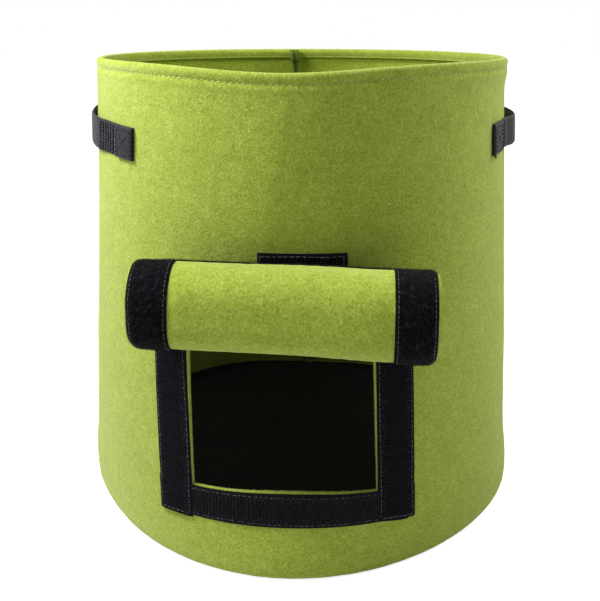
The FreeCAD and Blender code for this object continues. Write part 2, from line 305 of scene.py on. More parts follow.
class Finish:
    """One material's node tree, built in a few words."""

    def __init__(self, name, roughness=0.9, specular=0.2, sheen=0.0, sheen_roughness=0.5, tint=(1, 1, 1)):
        self.material = bpy.data.materials.new(name)
        self.material.use_nodes = True
        self.tree = self.material.node_tree
        self.shader = self.tree.nodes["Principled BSDF"]
        fill(self.shader, {"Roughness": roughness, "Specular IOR Level": specular, "Sheen Weight": sheen,
                           "Sheen Roughness": sheen_roughness, "Sheen Tint": (*tint, 1)})
        self.space = self.tree.nodes.new("ShaderNodeTexCoord")

    def add(self, kind, *links, **settings):
        """A node with its settings, and its first inputs linked to or set from what is given."""
        node = self.tree.nodes.new("ShaderNode" + kind)
        for key, value in settings.items():
            setattr(node, key, value)
        for index, given in enumerate(links):
            self.feed(node.inputs[index], given)
        return node

    def feed(self, socket, given):
        """Links an output to a socket, or writes a number there."""
        if isinstance(given, bpy.types.NodeSocket):
            self.tree.links.new(given, socket)
        else:
            socket.default_value = given

    def sum(self, kind, a, b):
        """A math node's result."""
        return self.add("Math", a, b, operation=kind).outputs[0]

    def mix(self, *parts):
        """A weighted sum of values. Each part is (value, share)."""
        total = None
        for value, share in parts:
            part = self.sum("MULTIPLY", value, share)
            total = part if total is None else self.sum("ADD", total, part)
        return total

    def clouds(self, scale, detail=3.0, rough=0.55, stretch=1.0, turn=0.0, flat=True, distortion=0.0):
        """Noise from 0 to 1 with features 1/scale metres across, longer along a turned direction."""
        place = self.space.outputs["UV" if flat else "Object"]
        if stretch != 1 or turn:
            mapped = self.add("Mapping", place, vector_type="TEXTURE")
            fill(mapped, {"Rotation": (0, 0, turn), "Scale": (stretch, 1, 1)})
            place = mapped.outputs[0]
        made = self.add("TexNoise", place, noise_dimensions="3D")
        fill(made, {"Scale": scale, "Detail": detail, "Roughness": rough, "Distortion": distortion})
        return made.outputs[0]

    def ramp(self, value, *stops):
        """A colour ramp. Each stop is (place, colour)."""
        node = self.add("ValToRGB", value)
        elements = node.color_ramp.elements
        while len(elements) < len(stops):
            elements.new(0.5)
        for element, (place, colour) in zip(elements, stops):
            element.position = place
            element.color = (*colour, 1)
        return node.outputs[0]

    def paint(self, colour, *stops):
        """Sets the base colour, from a colour or from a value and a ramp's stops."""
        self.feed(self.shader.inputs["Base Color"], self.ramp(colour, *stops) if stops else colour)

    def relief(self, height, strength, depth):
        """Bumps from a height of 0 to 1 that stands for depth metres. Returns the finished material."""
        bump = self.add("Bump")
        fill(bump, {"Strength": strength, "Distance": depth})
        self.feed(bump.inputs["Height"], height)
        self.feed(self.shader.inputs["Normal"], bump.outputs[0])
        return self.material


HAIR_SCALE = 620
HAIR_LENGTH = 4.0
HAIR_TURNS = (0.3, 1.1, 1.9, 2.7)


def fibres(finish):
    """Short curly hairs that cross each other in several directions."""
    layers = [finish.clouds(HAIR_SCALE*(1 - 0.07*k), 2, 0.65, HAIR_LENGTH, turn, distortion=1.4)
              for k, turn in enumerate(HAIR_TURNS)]
    pair = [finish.sum("MAXIMUM", *layers[:2]), finish.sum("MAXIMUM", *layers[2:])]
    return finish.sum("MULTIPLY", finish.sum("ADD", *pair), 0.5)


def felt_finish(name, dark, plain, light, sheen, tint, depth=None):
    """Needle-punched felt: small clumps of curly hairs with mottled tone, painted lighter where they stand up
    and painted darker in the pits between them as shade.

    depth is (low, high, shade): below the high level painted shade darkens the felt, down to shade at the low
    one, tinted bluish.
    """
    finish = Finish(name, 0.95, 0.08, sheen, 0.6, tint)
    hairs = fibres(finish)
    grains = finish.clouds(560, 3, 0.6, distortion=0.5)
    clumps = finish.clouds(150, 3, 0.6)
    drifts = finish.clouds(40, 2, 0.5)
    blend = finish.mix((hairs, 0.40), (grains, 0.38), (clumps, 0.14), (drifts, 0.08))
    # The colour follows the bump height: painted shade in the pits and painted highlight on the raised hairs,
    # over tone that varies at random.
    colour = finish.ramp(blend, (0.41, dark), (0.53, plain), (0.66, light))
    # Painted shade: the colour is multiplied down below a level, bluish where it is deepest.
    if depth:
        low, high, shade = depth
        level = finish.add("SeparateXYZ", finish.space.outputs["Object"]).outputs[2]
        share = finish.sum("DIVIDE", finish.sum("SUBTRACT", level, low), high - low)
        shadow = (shade, shade*0.97, min(1, shade*2.3))
        painted_shade_veil = finish.ramp(share, (0.0, shadow), (1.0, (1, 1, 1)))
        colour = finish.add("VectorMath", colour, painted_shade_veil, operation="MULTIPLY").outputs[0]
    finish.paint(colour)
    return finish.relief(blend, 0.8, 1.6*MM)


def hook_finish(name, dark, plain, light):
    """The woven backing and stiff nylon hooks of a hook tape."""
    finish = Finish(name, 0.8, 0.05, 0.01, 0.4, (0.6, 0.65, 0.8))
    weave = finish.clouds(900, 2, 0.6, 3.0, PI/2)
    lint = finish.clouds(420, 3, 0.7)
    finish.paint(finish.sum("MULTIPLY", weave, lint), (0.16, dark), (0.32, plain), (0.50, light))
    return finish.relief(weave, 0.5, 0.5*MM)


def loop_finish():
    """The brushed pile of a loop tape."""
    finish = Finish("loop_pile", 0.95, 0.05, 0.06, 0.45, (0.5, 0.5, 0.6))
    curls = finish.clouds(700, 4, 0.7, distortion=1.6)
    tufts = finish.clouds(300, 3, 0.6)
    finish.paint(finish.sum("MULTIPLY", curls, tufts), (0.17, (0.0015, 0.0015, 0.002)),
                 (0.29, (0.0068, 0.0062, 0.0085)), (0.42, (0.040, 0.037, 0.041)))
    return finish.relief(finish.sum("ADD", curls, tufts), 0.8, 0.7*MM)


def webbing_finish():
    """Ribbed polypropylene webbing, worn a little grey."""
    finish = Finish("webbing_yarn", 0.65, 0.18, 0.05, 0.35, (0.8, 0.85, 0.95))
    yarn = finish.clouds(1300, 2, 0.6, 5.0, PI/2)
    dust = finish.clouds(120, 3, 0.6)
    finish.paint(finish.mix((yarn, 0.7), (dust, 0.3)), (0.34, (0.007, 0.008, 0.010)),
                 (0.52, (0.014, 0.016, 0.019)), (0.70, (0.035, 0.039, 0.044)))
    return finish.relief(yarn, 0.35, 0.3*MM)


def thread_finish(name, dark, light):
    """Spun sewing thread, lighter and darker along its length."""
    finish = Finish(name, 0.7, 0.25, 0.2, 0.4, (1, 1, 1))
    twist = finish.clouds(1600, 2, 0.6, flat=False)
    wear = finish.clouds(120, 2, 0.6, flat=False)
    blend = finish.sum("MULTIPLY", finish.sum("ADD", twist, wear), 0.5)
    finish.paint(blend, (0.40, dark), (0.60, light))
    return finish.relief(twist, 0.4, 0.15*MM)


LEAF = ((0.200, 0.290, 0.020), (0.335, 0.425, 0.043), (0.50, 0.575, 0.125))
SOOT = ((0.0035, 0.0035, 0.006), (0.0075, 0.0070, 0.0115), (0.019, 0.018, 0.025))
TUFT = ((0.36, 0.42, 0.12), (0.46, 0.52, 0.18), (0.60, 0.66, 0.28))
# Painted shade: the green felt's colours at about a third of their brightness, for the back seam ridge.
PAINTED_SHADE_LEAF = ((0.050, 0.075, 0.008), (0.085, 0.125, 0.014), (0.14, 0.19, 0.03))
# Painted shade on the bag's inner face, as (low, high, shade): darker towards the base.
INSIDE_PAINTED_SHADE = (0.03, 0.24, 0.42)

GREEN = felt_finish("green_felt", *LEAF, 0.24, (1.0, 0.98, 0.75))
INNER_GREEN_PAINTED_SHADE = felt_finish("green_felt_inside_painted_shade", *LEAF, 0.05, (1.0, 1.0, 0.72), INSIDE_PAINTED_SHADE)
BLACK = felt_finish("black_felt", *SOOT, 0.08, (0.5, 0.5, 0.6))
FUZZ = felt_finish("felt_fuzz", *TUFT, 0.2, (1.0, 1.0, 0.8))
HOOKS = hook_finish("hook_nylon", (0.0035, 0.0035, 0.005), (0.0075, 0.008, 0.011), (0.027, 0.028, 0.034))
SILL_HOOKS = hook_finish("sill_hook_nylon", (0.005, 0.005, 0.0065), (0.0135, 0.0140, 0.0165),
                         (0.045, 0.047, 0.053))
# A paler hook finish, for hooks near the tape's edges.
PALE_HOOKS = hook_finish("pale_hook_nylon", (0.030, 0.033, 0.034), (0.080, 0.088, 0.090),
                         (0.26, 0.28, 0.27))
PILE = loop_finish()
WEBBING = webbing_finish()
PALE_THREAD = thread_finish("pale_thread", (0.035, 0.045, 0.032), (0.24, 0.27, 0.20))
GREEN_THREAD = thread_finish("green_thread", (0.36, 0.44, 0.09), (0.60, 0.68, 0.24))
# The back seam ridge: the wall's green felt painted darker, as painted shade on the ridge.
SEAM_FELT_PAINTED_SHADE = felt_finish("seam_felt_painted_shade", *PAINTED_SHADE_LEAF, 0.1, (0.8, 1.0, 0.5))
DARK_THREAD = thread_finish("dark_thread", (0.002, 0.002, 0.003), (0.007, 0.007, 0.009))
KNOT_THREAD = thread_finish("knot_thread", (0.09, 0.095, 0.10), (0.28, 0.29, 0.31))
# A darker copy of the knot thread for the right handle: painted shade.
KNOT_THREAD_PAINTED_SHADE = thread_finish("knot_thread_painted_shade", (0.03, 0.032, 0.035), (0.07, 0.075, 0.08))


# ---- the felt wall and base ----

COLUMNS = 780
STITCH = 4.5*MM
FOOT_CURL = 2.2*MM
HEM_LAP_END = (math.radians(201.3 - 360), math.radians(202 - 360))
ROUGHNESS = 0.22*MM
LIP_WIDTH = 5*MM
LIP_HEIGHT = 4.5*MM


def wall_columns():
    """Directions from the back seam round to it again, and which columns the window's two edges are."""
    inside = max(2, round(COLUMNS*EDGE/PI))
    right = (COLUMNS - inside)//2
    left = COLUMNS - inside - right
    turns = np.concatenate([np.linspace(SEAM_TURN - 2*PI, -EDGE, left + 1)[:-1],
                            np.linspace(-EDGE, EDGE, inside + 1),
                            np.linspace(EDGE, SEAM_TURN, right + 1)[1:-1]])
    return turns, left, left + inside


HEM_BEND = HEIGHT - 24*MM
HEM_FOLD = HEIGHT - 13*MM
# where each part of the wall's side ends, and how many rows of points it takes
SIDE_PARTS = ((WINDOW_LOW, 12), (WINDOW_HIGH, 22), (HEM_BEND, 28), (HEM_FOLD, 8), (HEIGHT - FELT, 20))


def wall_section():
    """The wall's middle line as (out from its outer face, level): foot, side, rim and folded hem."""
    half = FELT/2
    quarter = np.linspace(0, PI/2, 5)
    foot = [(-half - FOOT_CURL*(1 - math.sin(t)), half + FOOT_CURL*(1 - math.cos(t))) for t in quarter]
    side, low = [], foot[-1][1]
    for high, count in SIDE_PARTS:
        side += [(-half, z) for z in np.linspace(low, high, count)[1:]]
        low = high
    fold = [(-FELT + half*math.cos(t), HEIGHT - FELT + half*math.sin(t)) for t in np.linspace(0, PI, 7)[1:]]
    back = [(-FELT - half - 0.25*MM, z) for z in np.linspace(HEIGHT - FELT, HEIGHT - HEM, 10)[1:]]
    return foot + side + fold + back


def wall_relief(a, z, out, inner):
    """The wall's faces with the hem stitches' dents, the seam's groove and the doubled end of the hem."""
    pucker = 0.62 + 0.38*np.cos(2*PI*(a*BASE_RADIUS)/STITCH)
    over = z - STITCH_LINE
    dent = 0.9*MM*bell(over, 1.2*MM)*pucker + 0.35*MM*bell(over, 2.6*MM)
    soft = 0.35*MM*bell(over - 4*MM, 2.4*MM) + 0.35*MM*bell(over + 4*MM, 2.5*MM)
    out = out + np.where(inner, 0.5*(dent - soft), soft - dent)
    seam = SEAM_TURN - 2*PI
    lap = ease(a, seam + 0.02, seam + 0.03)*(1 - ease(a, *HEM_LAP_END))
    out = out - 0.9*MM*lap*inner
    groove = 1.1*MM*bell(apart(a, SEAM_TURN + 0.03*np.sin(4*z)), 0.012)
    return out - groove*~inner


def wall_piece():
    """The side panel: one sheet, folded over at the hem, with the window cut out and a seam at the back."""
    turns, left, right = wall_columns()
    outs, heights = np.array(wall_section()).T
    a, z = turns[None, :], heights[:, None]
    out = np.repeat(outs[:, None], len(turns), 1)
    out = wall_relief(a, z, out, outs[:, None] < -FELT)
    rough = np.array([[noise.noise(Vector((math.sin(t)*24, math.cos(t)*24, h*130))) for t in turns]
                      for h in heights])
    points = felt_points(a, z, out + ROUGHNESS*rough)
    runs = np.concatenate([[0], np.cumsum(np.hypot(np.diff(outs), np.diff(heights)))])
    uvs = np.stack(np.broadcast_arrays(a*BASE_RADIUS, runs[:, None]), -1)

    def kept(j, i):
        level = (heights[j] + heights[j + 1])/2
        return not (left <= i < right and WINDOW_LOW < level < WINDOW_HIGH and outs[j] > -FELT)

    faces = grid_faces(len(heights), COLUMNS, True, kept)
    piece = new_piece("felt_wall", points, faces, GREEN, uvs, lap=2*PI*BASE_RADIUS)
    # The inner face takes the green felt with painted shade that darkens it towards the base.
    thicken(piece, FELT - 0.1*MM, 0.5*MM, INNER_GREEN_PAINTED_SHADE)
    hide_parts("wall_panel")
    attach(piece, "bag")
    return piece


def base_piece():
    """The round base: black felt that lies a little uneven and turns up where it meets the wall."""
    edge = BASE_RADIUS - FELT - 0.6*MM
    inner = edge - LIP_WIDTH
    quarter = np.linspace(0, PI/2, 7)[1:]
    rings = np.concatenate([np.linspace(2*MM, inner, 40), inner + LIP_WIDTH*np.sin(quarter)])
    rises = np.concatenate([np.zeros(40), LIP_HEIGHT*(1 - np.cos(quarter))])
    turns = np.linspace(0, 2*PI, 181)[:-1]
    r, t = rings[:, None], turns[None, :]
    lip = 0.2 + 1.75*(1 - bell(apart(t, PI), 0.45))
    wave = np.abs(0.8*MM*np.sin(3*t + 9*r)*np.sin(21*r) + 0.5*MM*np.sin(5*t - 30*r))
    wave = wave*ease(r, 0.02, 0.08)*(1 - ease(r, edge - 0.03, edge - 0.005))
    z = FELT/2 + 0.2*MM + rises[:, None]*lip + wave
    reach = r*(1 + (slack(t, 0) + belly(0))/BASE_RADIUS)
    points = np.stack([reach*np.sin(t), -reach*np.cos(t), z + 0*t], -1)
    faces = grid_faces(len(rings), len(turns), True)
    faces.append(tuple(reversed(range(len(turns)))))
    uvs = np.stack(np.broadcast_arrays(r*np.sin(t), -r*np.cos(t)), -1)
    piece = new_piece("felt_base", points, faces, BLACK, uvs)
    thicken(piece, FELT - 0.3*MM)
    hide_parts("base_panel")
    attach(piece, "bag")
    return piece


RIDGE_FOOT = math.radians(181)
RIDGE_TURN = math.radians(6)
# the back seam's section, across it and inwards, in shares of its half width and depth
RIDGE = ((-1, 0), (-1, 0.5), (-0.93, 0.85), (-0.55, 1), (-0.12, 0.97), (0, 0.86), (0.12, 0.98),
         (0.55, 1.02), (0.93, 0.86), (1, 0.5), (1, 0))


def seam_piece():
    """The back seam inside: both edges of the wall turned in and sewn together, thicker at the hem."""
    heights = np.concatenate([np.linspace(5*MM, HEIGHT - 15*MM, 60),
                              np.linspace(HEIGHT - 14*MM, HEIGHT - 1.2*MM, 14)])
    hem = ease(heights, HEM_BEND, HEIGHT - 8*MM)
    turn = RIDGE_FOOT + RIDGE_TURN*(heights/HEIGHT)**1.5
    depth = (9.5 + 2.5*hem + 0.8*np.sin(60*heights))*MM
    half = (3.3 + 1.6*hem)*MM
    points, uvs = [], []
    for z, t, d, h in zip(heights, turn, depth, half):
        root = FELT + 0.2*MM + FELT*ease(z, HEIGHT - 15*MM, HEIGHT - 11*MM)*0.9
        top = 1 - 0.3*ease(z, HEIGHT - 4*MM, HEIGHT)
        for side, inward in RIDGE:
            angle = t + side*h/cone(z)
            points.append(felt_points(angle, z, -root - inward*d*top))
            uvs.append((side*h + inward*d, z))
    count = len(RIDGE)
    faces = grid_faces(len(heights), count, True)
    faces.append(tuple(range(count)))
    faces.append(tuple((len(heights) - 1)*count + k for k in reversed(range(count))))
    # The seam ridge is painted darker than the wall's felt: painted shade.
    piece = new_piece("back_seam", points, faces, SEAM_FELT_PAINTED_SHADE, uvs)
    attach(piece, "bag")


# ---- strips: tapes and webbing ----

def slab(name, place, us, vs, top, material):
    """A closed strip. place(u, v, out) gives its points, and top(u, v) how thick it is there."""
    u, v = np.meshgrid(us, vs)
    outer, inner = place(u, v, top(u, v)), place(u, v, 0*u)
    points = np.concatenate([outer, inner[:, ::-1]], 1)
    uvs = np.concatenate([np.stack([u, v], -1), np.stack([u, v], -1)[:, ::-1]], 1)
    rows, count = len(vs), 2*len(us)
    faces = grid_faces(rows, count, True)
    for j, flip in ((0, True), (rows - 1, False)):
        for i in range(len(us) - 1):
            k = j*count
            quad = (k + i, k + i + 1, k + count - 2 - i, k + count - 1 - i)
            faces.append(quad[::-1] if flip else quad)
    return new_piece(name, points, [f[::-1] for f in faces], material, uvs)


def spread(low, high, step):
    """Numbers from low to high, about a step apart."""
    return np.linspace(low, high, max(2, int(round((high - low)/step)) + 1))


# a bristle's rings from root to tip: forward, up, and how thick it is, in shares
BRISTLE = ((0.0, 0.0, 1.0), (0.0, 0.62, 0.9), (0.35, 1.0, 0.85), (0.85, 0.92, 0.75), (1.0, 0.62, 0.55))


def bristles(name, place, spots, height, reach, width, lean, material, seed, sides=4):
    """Short bent bristles standing at spots (u, v) of a strip: hooks of a hook tape or curls of a pile."""
    rng = np.random.default_rng(seed)
    spots = np.asarray(spots, float)
    count = len(spots)
    u, v = spots.T
    root = place(u, v, np.zeros(count))
    up = place(u, v, np.full(count, 1*MM)) - root
    up /= np.linalg.norm(up, axis=1)[:, None]
    ahead = place(u, v + 0.5*MM, np.zeros(count)) - root
    ahead /= np.linalg.norm(ahead, axis=1)[:, None]
    side = np.cross(up, ahead)
    turn = lean(u, v, rng)
    way = np.cos(turn)[:, None]*ahead + np.sin(turn)[:, None]*side
    cross = np.cross(up, way)
    tall = height*rng.uniform(0.82, 1.12, count)[:, None]
    long = reach*rng.uniform(0.8, 1.2, count)[:, None]
    rings = []
    for forward, rise, thick in BRISTLE:
        centre = root + way*long*forward + up*tall*rise
        for q in range(sides):
            angle = 2*PI*q/sides
            spoke = math.cos(angle)*cross + math.sin(angle)*(up*0.5 + way*0.5)
            rings.append(centre + width/2*thick*spoke)
    points = np.stack(rings, 1)
    step = len(rings)
    block = grid_faces(len(BRISTLE), sides, True) + [tuple(range(step - sides, step))]
    faces = [tuple(k*step + p for p in face) for k in range(count) for face in block]
    return new_piece(name, points, faces, material)


def rows_of(us, vs, rng, stray):
    """Spots in rows, each a little out of line."""
    return [(u + rng.uniform(-stray, stray), v + rng.uniform(-stray, stray)) for v in vs for u in us]


HOOK_ROWS = 2.7*MM
HOOK_COLUMNS = 1.25*MM
HOOK_PAIR = 0.32*MM
HOOK_FOOT = 0.75*MM
HOOK_HEIGHT = 0.95*MM
HOOK_REACH = 0.6*MM
PALE_EDGE = 6.2*MM
SELVEDGE = 1.9*MM
TAPE_GAP = 0.12*MM


def tape_face(half, ribbing=0.6*MM):
    """The height of a hook tape's face: plain edges, and a field of ribs across it between them."""
    def top(u, v):
        field = ease(half - np.abs(u), SELVEDGE*0.7, SELVEDGE*1.3)
        rib = 0.5 + 0.5*np.cos(2*PI*v/HOOK_ROWS)
        edge = 1 - 0.6*bell(half - np.abs(u), 0.35*MM)
        weave = 0.05*MM*np.cos(2*PI*u/(0.8*MM))*np.cos(2*PI*v/(0.9*MM))
        wave = 0.22*MM*np.sin(2*PI*v/(13.7*MM) + 1.1*np.sin(2*PI*v/(31*MM)))*field
        return (0.62*MM + field*(0.08*MM + ribbing*rib))*edge + weave + wave
    return top


def hook_tape(name, node, place, width, low, high, seed, ribbing=0.3*MM, finish=HOOKS):
    """A hook tape: a woven strip with ribs across it, and rows of hooks, paler along its edges."""
    half = width/2
    us = np.concatenate([[-half, -half + 0.3*MM], spread(-half + 0.8*MM, half - 0.8*MM, 0.8*MM),
                         [half - 0.3*MM, half]])
    strip = slab(name, place, us, spread(low, high, 0.5*MM), tape_face(half, ribbing), finish)
    rng = random.Random(seed)
    field = spread(-half + SELVEDGE*1.2, half - SELVEDGE*1.2, HOOK_COLUMNS)
    first = math.ceil((low + 1*MM)/HOOK_ROWS)
    last = math.floor((high - 1*MM)/HOOK_ROWS)
    levels = [k*HOOK_ROWS + d for k in range(first, last + 1) for d in (-HOOK_PAIR, HOOK_PAIR)]
    spots = rows_of(field, levels, rng, 0.2*MM)
    # About half the hooks near the edges get the paler finish.
    worn = [half - abs(u) < PALE_EDGE and rng.random() < 0.5 for u, v in spots]
    groups = ((name + "_hooks", finish, 0.26*MM, [q for q, w in zip(spots, worn) if not w]),
              (name + "_pale_hooks", PALE_HOOKS, 0.34*MM, [q for q, w in zip(spots, worn) if w]))
    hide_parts(node)
    pieces = [strip]
    for label, material, thick, chosen in groups:
        pieces.append(bristles(label, lambda u, v, out: place(u, v, out + HOOK_FOOT), chosen, HOOK_HEIGHT,
                               HOOK_REACH, thick, hook_lean, material, seed))
    for piece in pieces:
        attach(piece, "bag")


def hook_lean(u, v, rng):
    """Hooks lean to one side or the other, column by column."""
    return np.where(np.round(u/HOOK_COLUMNS) % 2 == 0, 0.5, PI + 0.5) + rng.normal(0, 0.35, len(u))


def any_way(u, v, rng):
    """Hairs lean every way."""
    return rng.uniform(0, 2*PI, len(u))


def tape_stitches(name, place, half, corners, seed, pitch=4.3*MM):
    """Stitches along straight runs between corners (u, v) on a hook tape."""
    top = tape_face(half)
    for k, (a, b) in enumerate(zip(corners, corners[1:])):
        count = max(8, int(math.dist(a, b)/(1*MM)))
        rng = np.random.default_rng(seed + k)
        u, v = np.linspace(a[0], b[0], count), np.linspace(a[1], b[1], count)
        wander = 0.25*MM*np.sin(np.linspace(0, 9, count) + rng.uniform(0, 6))
        if abs(a[0] - b[0]) < abs(a[1] - b[1]):
            u = u + wander
        else:
            v = v + wander
        lift = top(u, v) + 0.12*MM
        row = sew(f"{name}_{k}", place, u, v, lift, lift + 1*MM, pitch, pitch*0.82, 0.42*MM, PALE_THREAD,
                  seed + k)
        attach(row, "bag")


def cut_edge_fuzz():
    """Short hairs that stand off the window's cut edges."""
    radius, depth = cone(WINDOW_LOW), FELT/2
    sunk, gap = 0.3*MM, 0.16*MM
    rng = random.Random(91)

    def sill(u, v, out):
        return felt_points(v/radius, WINDOW_LOW + out - sunk, u - depth)

    def flank(side):
        return lambda u, v, out: felt_points(side*(EDGE - (out - sunk)/radius), v, u - depth)

    for name, place, low, high in (("sill", sill, -EDGE*radius, EDGE*radius),
                                   ("left", flank(-1), WINDOW_LOW, WINDOW_HIGH),
                                   ("right", flank(1), WINDOW_LOW, WINDOW_HIGH)):
        count = int((high - low)/gap)
        spots = [(rng.uniform(-depth, depth)*0.95, rng.uniform(low, high)) for _ in range(count)]
        hairs = bristles(f"fuzz_{name}", place, spots, 0.95*MM, 0.7*MM, 0.11*MM, any_way, FUZZ, 92, 3)
        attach(hairs, "bag")


TAPE = 30*MM
TILT = 0.012
TAPE_INNER = EDGE - 0.2*MM/cone(WINDOW_LOW)
FRAME_FOOT = SILL_LOW.z
FRAME_TOP = SEAM_LOW.z - 0.3*MM


def side_tapes():
    """The hook tapes left and right of the window."""
    radius, half = cone(WINDOW_LOW), TAPE/2
    for side, name, extra in ((-1, "left", 0.0), (1, "right", 0.5*MM)):
        centre = side*(TAPE_INNER + TAPE/2/radius)

        def place(u, v, out, centre=centre, side=side):
            over = 1.0*MM*(1 - ease(v, SILL_HIGH.z - 1*MM, SILL_HIGH.z + 4*MM))
            skew = TILT*(v - SILL_HIGH.z)*side
            foot = 1 - ease(v, FRAME_FOOT, FRAME_FOOT + 20*MM)
            level = v - 0.02*u*side + (side + 1)/2*foot*(0.8*MM - 0.06*u)
            return felt_points(centre + (u + skew)/radius, level, TAPE_GAP + out + over)

        low = FRAME_FOOT + extra
        hook_tape(f"tape_{name}", f"hook_tape_{name}", place, TAPE, low, FRAME_TOP, 11 + side)
        inner, outer = -side*(half - 2.2*MM), side*(half - 2.4*MM)
        foot, head = low + 2.4*MM, FRAME_TOP - 1*MM
        corners = [(inner, head), (inner, foot), (outer, foot), (outer, head)]
        tape_stitches(f"stitches_tape_{name}", place, half, corners, 31 + 5*side)


def sill_tape():
    """The hook tape below the window. Its right end runs on under the right tape."""
    radius = cone(WINDOW_LOW)
    edge = TAPE_INNER*radius
    left, right = -edge - 6*MM, edge + 24*MM
    level = (SILL_LOW.z + SILL_HIGH.z)/2 + 1.1*MM
    half = (SILL_HIGH.z - SILL_LOW.z)/2

    def place(u, v, out):
        drop = -2.9*MM*ease(v, edge - 2*MM, right) - 1.0*MM*bell(v - 6*MM, 45*MM)
        return felt_points(v/radius, level + u + drop, TAPE_GAP + out)

    hook_tape("tape_sill", "hook_tape_sill", place, 2*half, left, right, 14, 0.9*MM, SILL_HOOKS)
    for name, u in (("top", half - 2.6*MM), ("foot", 2.4*MM - half)):
        ends = [(u, -edge - 1*MM), (u, edge - 0.5*MM)]
        tape_stitches(f"stitches_sill_{name}", place, half, ends, 41)


def patch_tape():
    """The hook tape above the flap's seam that the rolled flap sticks to."""
    z = (PATCH_LOW.z + PATCH_HIGH.z)/2
    radius = cone(z)
    centre = math.asin(((PATCH_LOW + PATCH_HIGH)/2).x/radius)
    width, length = PATCH_HIGH.z - PATCH_LOW.z, PATCH_HIGH.x - PATCH_LOW.x

    def place(u, v, out):
        return felt_points(centre + v/radius, z + u - TILT*v, TAPE_GAP + out)

    hook_tape("tape_patch", "hold_open_patch", place, width, -length/2, length/2 + 1.2*MM, 17)
    edge, end = width/2 - 2.3*MM, length/2 - 1.8*MM
    corners = [(-edge, -end), (edge, -end), (edge, end), (-edge, end), (-edge, -end)]
    tape_stitches("stitches_patch", place, width/2, corners, 51)


# ---- the flap ----

FLAP_LEFT = LOOP_LOW.x - 0.9*MM
FLAP_RIGHT = LOOP_HIGH.x + 0.9*MM
SEAM_LEVEL = LOOP_LOW.z
ROOT_LEVEL = SEAM_LEVEL + 9.5*MM
WALL_AT_SEAM = cone(ROOT_LEVEL)
MID = SEAM_LEVEL + 29*MM
STEP = 1.6*MM


def arc_points(centre, radius, start, end):
    """Points on an arc. start and end are in degrees, measured from straight out."""
    count = max(3, int(abs(math.radians(end - start))*radius/STEP) + 1)
    angles = np.radians(np.linspace(start, end, count + 1)[1:])
    return [(centre[0] + radius*math.cos(t), centre[1] + radius*math.sin(t)) for t in angles]


def loop_path():
    """The middle line of the folded flap, (out from the wall, level from the loop's middle), seam to tail."""
    r, x, y = 22*MM, 20.8*MM, 5.5*MM
    path = [(1.8*MM, -13.5*MM), (1.8*MM, -16.5*MM), (1.8*MM, -19.5*MM)]
    path += arc_points((9.8*MM, -19.5*MM), 8*MM, 180, 270)
    path += [(15*MM, -27.5*MM), (x, -27.5*MM)]
    path += arc_points((x, -y), r, -90, 0)
    path += [(x + r, -y/3), (x + r, y/3), (x + r, y)]
    path += arc_points((x, y), r, 0, 90)
    path += [(17.7*MM, 27.5*MM), (14.7*MM, 27.5*MM)]
    path += arc_points((14.7*MM, 17.5*MM), 10*MM, 90, 180)
    path += [(4.7*MM, v) for v in np.linspace(17.5*MM, -10.9*MM, 20)[1:]]
    return np.array(path)


LOOP_PATH = loop_path()
LOOP_RUN = np.concatenate([[0], np.cumsum(np.hypot(*np.diff(LOOP_PATH, axis=0).T))])
LOOP_LENGTH = LOOP_RUN[-1]


def on_path(s, k):
    """One coordinate of the path at a run s from the seam."""
    return np.interp(s, LOOP_RUN, LOOP_PATH[:, k])


def shell_of_loop(s):
    """The path's place and its outward normal at a run s from the seam."""
    d = 1.4*MM
    way = np.stack([on_path(s + d, k) - on_path(s - d, k) for k in (0, 1)], -1)
    way /= np.maximum(np.linalg.norm(way, axis=-1), 1e-9)[..., None]
    return on_path(s, 0), on_path(s, 1), way[..., 1], -way[..., 0]


def wall_recess(x):
    """How far the round wall falls back behind its front, at a place x across it."""
    return WALL_AT_SEAM - np.sqrt(WALL_AT_SEAM**2 - np.asarray(x, float)**2)


FRONT_LEAN = 0.13


def loop_points(x, s, out=0.0):
    """Points of the flap at a place x across it and a run s from the seam, out from its middle surface.

    The seam follows the round wall but the roll is straight, so the sheet spends more of its length under the
    roll's two ends, and its tail reaches less far behind them.
    """
    x, s, out = np.broadcast_arrays(*[np.asarray(v, float) for v in (x, s, out)])
    behind = wall_recess(x)
    spent = np.clip(s - 12*MM, 0, None)
    spent = behind*(1 - np.exp(-spent/np.maximum(behind, 1*MM)*0.9))
    run = s - spent
    away, level, n_out, n_up = shell_of_loop(np.maximum(run, 0))
    full = ease(run, 12*MM, 40*MM)*(1 - ease(run, LOOP_LENGTH - 26*MM, LOOP_LENGTH - 8*MM))
    fat = 1 + full*(0.05*ease(x, 0.02, 0.11) - 0.03*bell(x + 0.05, 0.03))
    right_end = ease(x, FLAP_RIGHT - 7*MM, FLAP_RIGHT + 1*MM)
    left_end = ease(-x, -FLAP_LEFT - 7*MM, 1*MM - FLAP_LEFT)
    limp = 0.085*full*(right_end + 0.6*left_end)
    away, level = away*fat*(1 - limp), level*(1 + full*0.04*ease(x, 0.05, 0.11) - limp)
    away, level = away + n_out*out, level + n_up*out
    crease = full*(1.1*MM*bell(x + 0.072, 0.007) + 0.8*MM*bell(x - 0.078, 0.008))
    wave = full*(0.9*np.sin(31*x + 1.3 + 14*s) + 0.6*np.sin(57*x - 0.4 - 22*s))*MM
    away = away - crease + wave*0.7 - FRONT_LEAN*level*full*ease(away, 14*MM, 34*MM)
    under = 1 - 0.4*ease(level, 0, 20*MM)
    droop = -(3.2*MM*ease(x, 0.0, 0.11) + 1.2*MM*ease(-x, 0.05, 0.1))*full*under
    z = MID + level + droop - TILT*x*(0.4 + 0.6*full)
    root = stray(np.arcsin(x/WALL_AT_SEAM), ROOT_LEVEL)
    y = -WALL_AT_SEAM - away - root*(1 - full) + behind - spent
    return np.stack([x, y, z], -1)


def blend_flap(piece):
    """Bakes the piece's placement into its mesh."""
    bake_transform(piece)


SEWN_EDGE = 8*MM


